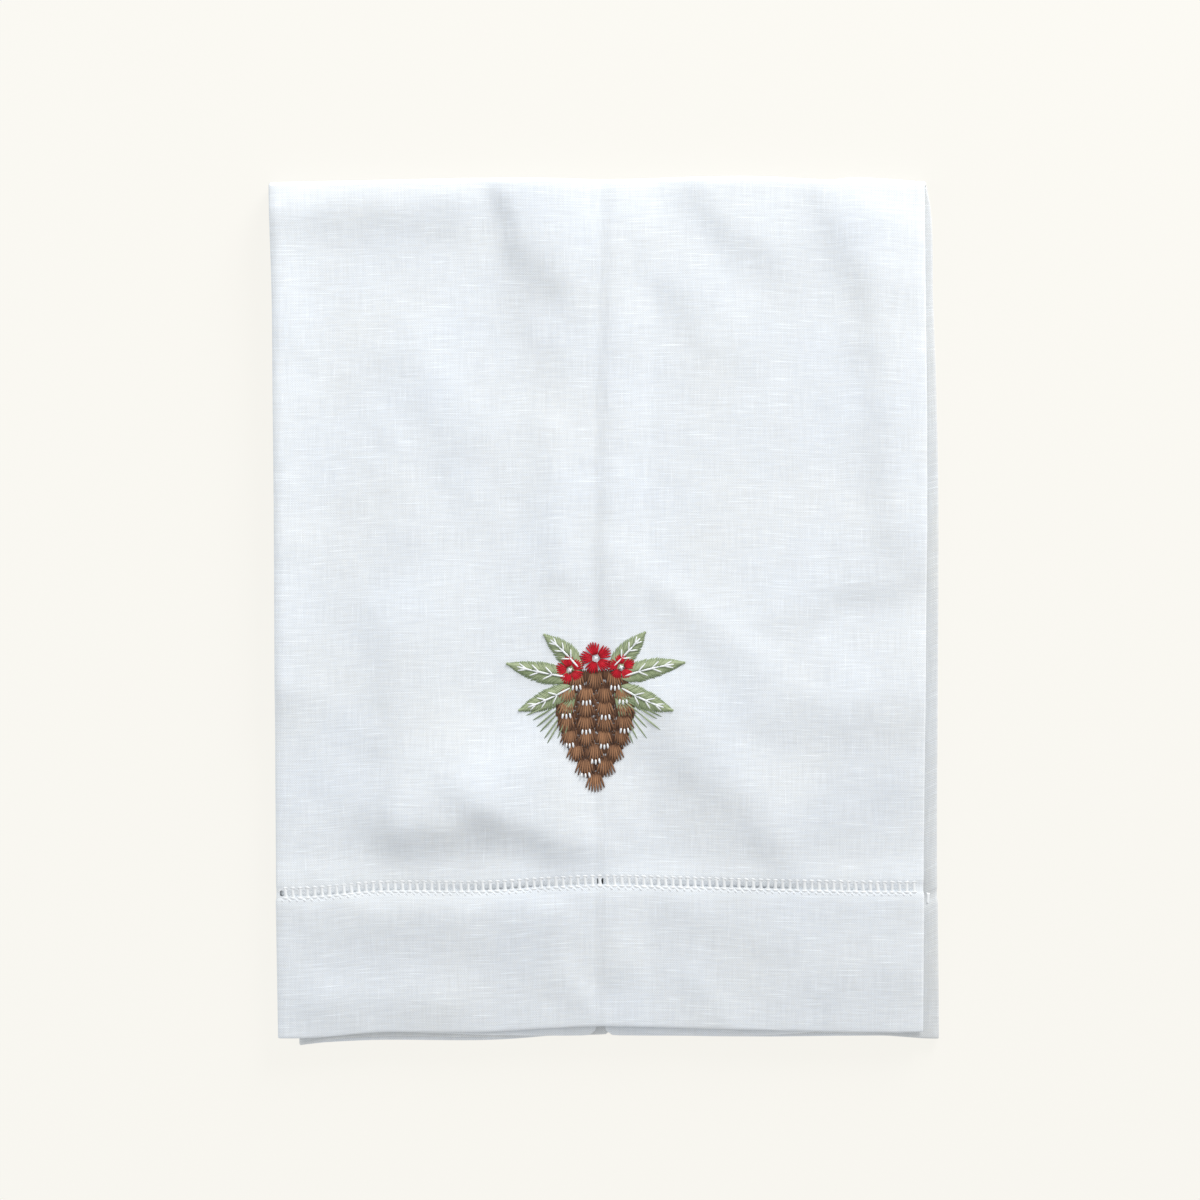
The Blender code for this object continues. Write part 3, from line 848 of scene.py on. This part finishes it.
leaf = {
    "width": 6.4, "outline": 0.8, "bends": (-0.8, 0.8),
    "lean": 0.14,  # how far stitches slant towards the tip, as a share of the length
    "narrowest": 0.25, "unevenness": (0.93, 1.06),
    "tone": 0.7, "handTone": 0.15, "tones": (-0.2, 0.2), "heights": (0.3, 0.12), "stitchWidth": 0.85,
    "ribs": ((0.06, 0.36), (0.34, 0.62), (0.6, 0.84)), "ribHeights": (0.5, 0.5), "ribWidth": 0.95,
    "veins": (0.3, 0.5, 0.68), "veinReach": (0.1, 0.62), "veinHeights": (0.5, 0.42),
    "veinWidth": 0.7, "whiteTones": (0.8, 1.0),
}
needle = {
    "count": 9, "spread": 7.5, "stray": (-2, 2),  # degrees
    "reaches": (13.0, 17.0), "roots": (0.0, 1.5), "overlap": 0.4,
    "tones": (0.3, 0.8), "heights": (0.22, 0.22, 0.12), "widths": (0.75, 0.7),
}
flower = {
    "petals": 5, "blades": 6, "root": (0.22, 0.14), "tip": (1.0, 0.46), "rounding": 0.28,
    "heights": (0.5, 0.3), "tones": (0.5, 1.0), "width": 0.9,
    "knots": 4, "knotReach": (0.7, 0.5), "knotHeights": (0.75, 0.8), "knotTones": (0.6, 1.0),
}
leaves = (  # rootX, rootY, direction in degrees, length
    (-4, 11.5, 136, 15.5),
    (-6.5, 9.5, 168, 20),
    (-6.5, 7, 204, 17.5),
    (4.5, 12, 47, 15),
    (6.8, 9.5, 13, 20),
    (6.8, 7, -24, 17.5),
)
flowers = ((-7.4, 11.8, 4.6), (7.6, 12.6, 4.3), (0.2, 15.2, 4.9))  # x, y, radius
sprigs = ((-5.5, 5, 226), (5.5, 5, -47))  # needles: x, y, middle direction


def panelTop(x, y, height):
    thick, pitch = stackAt(y)
    return Vector((x, y, thick / 2 + 3 * pitch + panelLift(x, y) + cloth["thickness"] / 2 + height))


def panelUp(x, y):
    step = 0.5
    acrossStep = panelTop(x + step, y, 0) - panelTop(x - step, y, 0)
    alongStep = panelTop(x, y + step, 0) - panelTop(x, y - step, 0)
    return acrossStep.cross(alongStep).normalized()


def motifStitch(start, end, lowHeight, highHeight, shade, width=1.0):
    # a stitch on the front panel, between two places measured from the motif's middle
    first = panelTop(motif["x"] + start[0], motif["y"] + start[1], lowHeight)
    last = panelTop(motif["x"] + end[0], motif["y"] + end[1], highHeight)
    up = panelUp((first.x + last.x) / 2, (first.y + last.y) / 2)
    return between(first, last, up, floss, width), min(1.0, max(0.0, shade))


def coneHalfWidth(share):
    start, bulge, roundness = cone["outline"]
    place = math.pi * min(1.0, start + (1 - start) * share) ** bulge
    return cone["halfWidth"] * math.sin(place) ** roundness


def coneStitches():
    # a dark ground of upright stitches, then rows of fanned scales from the tip upwards
    brown, white = [], []
    length, top, flat = cone["length"], cone["top"], cone["groundHeight"]
    for column in range(int(2 * cone["halfWidth"] / motif["stitchStep"])):
        x = -cone["halfWidth"] + (column + 0.5) * motif["stitchStep"]
        inside = [step for step in range(101) if coneHalfWidth(step / 100) > abs(x)]
        if len(inside) < cone["shortestColumn"]:
            continue
        place, high = inside[0] / 100 * length, inside[-1] / 100 * length
        while place < high - cone["groundEnd"]:
            end = min(high, place + draw(cone["groundLengths"]))
            tone = draw(cone["groundTones"])
            brown.append(motifStitch((x, top - place), (x, top - end), flat, flat, tone))
            place = end - cone["groundOverlap"]
    for row in reversed(range(cone["rows"])):
        half = coneHalfWidth((row + cone["rowMiddle"]) / cone["rows"])
        count = max(1, round(2 * half / cone["scaleWidth"]))
        wide = 2 * half / count
        rootY = top - (row + cone["rowRoot"]) / cone["rows"] * length
        for scale in range(count):
            middle = (scale + 0.5 - count / 2) * 2 * half / count
            shortening = cone["sideShortening"] * (abs(middle) / cone["halfWidth"])
            drop = cone["scaleLength"] * (1.0 - shortening)

            def tipAt(fan):
                return rootY - drop * math.sqrt(1 - cone["tipRounding"] * fan * fan)

            tone = draw(cone["scaleTones"])
            (rootIn, rootFan), (tipOut, tipFan) = cone["rootFan"], cone["tipFan"]
            for blade in range(cone["blades"]):
                fan = (blade + 0.5) / cone["blades"] * 2 - 1
                start = (middle * rootIn + fan * wide * rootFan, rootY)
                end = (middle + fan * wide * tipFan + middle * tipOut, tipAt(fan))
                shade = tone + cone["middleLight"] * (1 - abs(fan)) + draw(cone["bladeTones"])
                brown.append(motifStitch(start, end, *cone["heights"], shade))
            if (scale + row) % 2 == 0:
                for fan in cone["whiteFans"]:
                    (startOut, startUp), (endOut, endUp) = cone["whiteStart"], cone["whiteEnd"]
                    start = (middle + fan * wide * startOut, tipAt(fan) + startUp)
                    end = (middle + fan * wide * endOut, tipAt(fan) + endUp)
                    tone, width = draw(cone["whiteTones"]), cone["whiteWidth"]
                    white.append(motifStitch(start, end, *cone["whiteHeights"], tone, width))
    return brown, white


def directions(degrees):
    # forward and to the left
    forward = Vector((math.cos(math.radians(degrees)), math.sin(math.radians(degrees))))
    return forward, Vector((-forward.y, forward.x))


def leafStitches():
    # satin stitches slanting out from each midrib, and white veins over them
    green, white = [], []
    for rootX, rootY, direction, length in leaves:
        forward, sideways = directions(direction)
        root = Vector((rootX, rootY))
        count = int(length / motif["stitchStep"])
        bend = draw(leaf["bends"])

        def rib(share):
            return root + forward * (length * share) + sideways * bend * math.sin(math.pi * share)

        def fullness(share):
            return math.sin(math.pi * share ** leaf["outline"])

        for step in range(count):
            share = (step + 0.5) / count
            tip = min(1.0, share + leaf["lean"])
            half = max(leaf["narrowest"], leaf["width"] / 2 * fullness(tip) ** leaf["outline"])
            for hand in (-1, 1):
                reach = hand * half * draw(leaf["unevenness"])
                tone = leaf["tone"] + leaf["handTone"] * hand * forward.x + draw(leaf["tones"])
                end, width = rib(tip) + sideways * reach, leaf["stitchWidth"]
                green.append(motifStitch(rib(share), end, *leaf["heights"], tone, width))
        for low, high in leaf["ribs"]:
            tone = draw(leaf["whiteTones"])
            white.append(motifStitch(rib(low), rib(high), *leaf["ribHeights"], tone, leaf["ribWidth"]))
        for share in leaf["veins"]:
            past, reach = leaf["veinReach"]
            half = leaf["width"] / 2 * fullness(share + past) * reach
            for hand in (-1, 1):
                end = rib(share + leaf["lean"]) + sideways * hand * half
                tone, width = draw(leaf["whiteTones"]), leaf["veinWidth"]
                white.append(motifStitch(rib(share), end, *leaf["veinHeights"], tone, width))
    for rootX, rootY, direction in sprigs:
        for each in range(needle["count"]):
            turn = (each - needle["count"] // 2) * needle["spread"] + draw(needle["stray"])
            reach = draw(needle["reaches"])
            forward = directions(direction + turn)[0]
            root = Vector((rootX, rootY)) + forward * draw(needle["roots"])
            middle = root + forward * reach / 2
            tone = draw(needle["tones"])
            low, high, end = needle["heights"]
            near, far = needle["widths"]
            green.append(motifStitch(root, middle + forward * needle["overlap"], low, high, tone, near))
            green.append(motifStitch(middle, root + forward * reach, high, end, tone, far))
    return green, white


def flowerStitches():
    red, white = [], []
    for flowerX, flowerY, radius in flowers:
        start = draw((0, 360 / flower["petals"]))
        centre = Vector((flowerX, flowerY))
        for petal in range(flower["petals"]):
            forward, sideways = directions(start + 360 / flower["petals"] * petal)
            for blade in range(flower["blades"]):
                fan = (blade + 0.5) / flower["blades"] * 2 - 1
                (rootOut, rootFan), (tipOut, tipFan) = flower["root"], flower["tip"]
                first = centre + forward * radius * rootOut + sideways * fan * radius * rootFan
                tipOut -= flower["rounding"] * fan * fan
                last = centre + forward * radius * tipOut + sideways * fan * radius * tipFan
                tone = draw(flower["tones"])
                red.append(motifStitch(first, last, *flower["heights"], tone, flower["width"]))
        for knot in range(flower["knots"]):
            forward = directions(360 / flower["knots"] * knot + start)[0]
            first = centre + forward * flower["knotReach"][0]
            last = centre - forward * flower["knotReach"][1]
            tone = draw(flower["knotTones"])
            white.append(motifStitch(first, last, *flower["knotHeights"], tone, flower["width"]))
    return red, white


def sewMotif():
    model = modelStitch("flossStitch", **floss)
    brown, coneWhite = coneStitches()
    green, leafWhite = leafStitches()
    red, flowerWhite = flowerStitches()
    pieces = []
    for name, stitches, colour in (
        ("pineConeStitches", brown, "brown"),
        ("leafStitches", green, "green"),
        ("flowerStitches", red, "red"),
        ("whiteAccentStitches", coneWhite + leafWhite + flowerWhite, "white"),
    ):
        material, slot = materials[colour + "Thread"], colour + "_thread"
        pieces.append(sewCopies(name, model, stitches, material, slot))
    bpy.data.objects.remove(model, do_unlink=True)
    return pieces


motifPieces = sewMotif()

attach(towelCloth, "root")
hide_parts("folded_towel")

floor = {
    "size": 4.0, "gap": 0.05,  # metres, millimetres
    "colour": (1.0, 0.983, 0.928, 1.0), "shade": 0.12, "glow": 0.832, "roughness": 0.9,
}


def layFloor():
    bpy.ops.object.select_all(action="DESELECT")
    bpy.ops.mesh.primitive_plane_add(size=floor["size"], location=(0, 0, -floor["gap"] * mm))
    ground = bpy.context.object
    ground.name = "paleFloor"
    bpy.ops.object.transform_apply(location=True, rotation=True, scale=True)
    made, shader = newMaterial("paleFloor", floor["roughness"], 0.0)
    shaded = [part * floor["shade"] for part in floor["colour"][:3]]
    setInputs(shader, {"Base Color": [*shaded, 1.0], "Specular IOR Level": 0.0})
    setInputs(shader, {"Emission Color": floor["colour"], "Emission Strength": floor["glow"]})
    ground.data.materials.append(made)


studio = {
    "ambient": 0.63,
    "ambientColour": (1.0, 1.0, 1.0, 1.0),
    "lights": (  # name, place, width, watts, colour
        ("keyLight", (0.46, 0.99, 0.356), 0.55, 13.0, (1.0, 0.995, 0.985)),
        ("sideFill", (-0.55, 0.1, 0.45), 0.4, 0.7, (0.9, 0.96, 1.0)),
    ),
}


def lightStudio():
    world = bpy.data.worlds.new("studio")
    world.use_nodes = True
    sky = world.node_tree.nodes["Background"]
    setInputs(sky, {"Color": studio["ambientColour"], "Strength": studio["ambient"]})
    bpy.context.scene.world = world
    for name, place, width, watts, colour in studio["lights"]:
        bpy.ops.object.light_add(type="AREA", location=place)
        lamp = bpy.context.object
        lamp.name = name
        lamp.data.shape = "DISK"
        lamp.data.size = width
        lamp.data.energy = watts
        lamp.data.color = colour
        lamp.rotation_euler = (-Vector(place)).to_track_quat("-Z", "Y").to_euler()


camera = {"width": 352.8, "middleX": -1.2, "middleY": 3.3, "height": 1100.0, "plane": 3.0}  # mm


def placeCamera():
    place = Vector((camera["middleX"], camera["middleY"], camera["plane"] + camera["height"]))
    bpy.ops.object.camera_add(location=place * mm + toFrame, rotation=(0, 0, 0))
    eye = bpy.context.object
    eye.name = "photoCamera"
    eye.data.lens = eye.data.sensor_width * camera["height"] / camera["width"]
    bpy.context.scene.camera = eye


layFloor()
lightStudio()
placeCamera()
print("floor, lights and camera placed")
